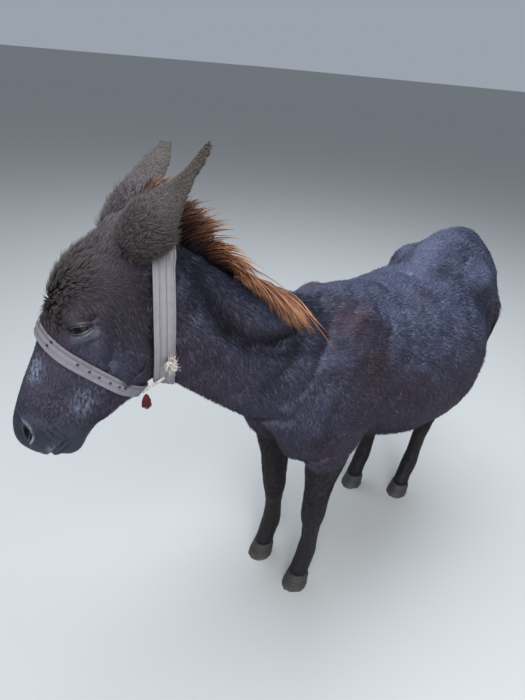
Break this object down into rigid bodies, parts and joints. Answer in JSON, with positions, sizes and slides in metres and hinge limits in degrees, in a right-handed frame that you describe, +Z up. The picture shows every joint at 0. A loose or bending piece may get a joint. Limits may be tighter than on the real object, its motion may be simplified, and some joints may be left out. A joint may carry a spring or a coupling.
{
  "type": "donkey",
  "caption": "Life-size still donkey with a shaggy near-black coat, a rusty mane and a webbing halter, standing with its head turned and eyes half closed.",
  "frame": {"origin": "on the floor, under the middle of the whole model's box", "axes": "+Z up; the donkey faces -X, and its left side is towards -Y"},
  "size_m": [1.7598, 0.5372, 1.3877],
  "materials": {
    "coat": "soft near-black winter hair with brown tips, grey on the muzzle",
    "mane": "coarse sun-bleached rusty hair, dark at the roots",
    "hoof": "dull dark grey horn",
    "eye": "wet dark brown",
    "webbing": "worn pale grey woven webbing",
    "cord": "frayed off-white twisted cord",
    "tassel": "dark red yarn"
  },
  "bodies": {
    "root": {"head": "coat", "eye_left": "eye", "eye_right": "eye", "ear_left": "coat", "ear_right": "coat", "neck": "coat", "trunk": "coat", "tail": "coat", "tail_switch": "coat", "leg_fore_left": "coat", "leg_fore_right": "coat", "leg_hind_left": "coat", "leg_hind_right": "coat", "hoof_fore_left": "hoof", "hoof_fore_right": "hoof", "hoof_hind_left": "hoof", "hoof_hind_right": "hoof", "mane": "mane", "noseband": "webbing", "collar": "webbing", "collar_knot": "cord", "tie": "cord", "tassel": "tassel"}
  },
  "joints": []
}
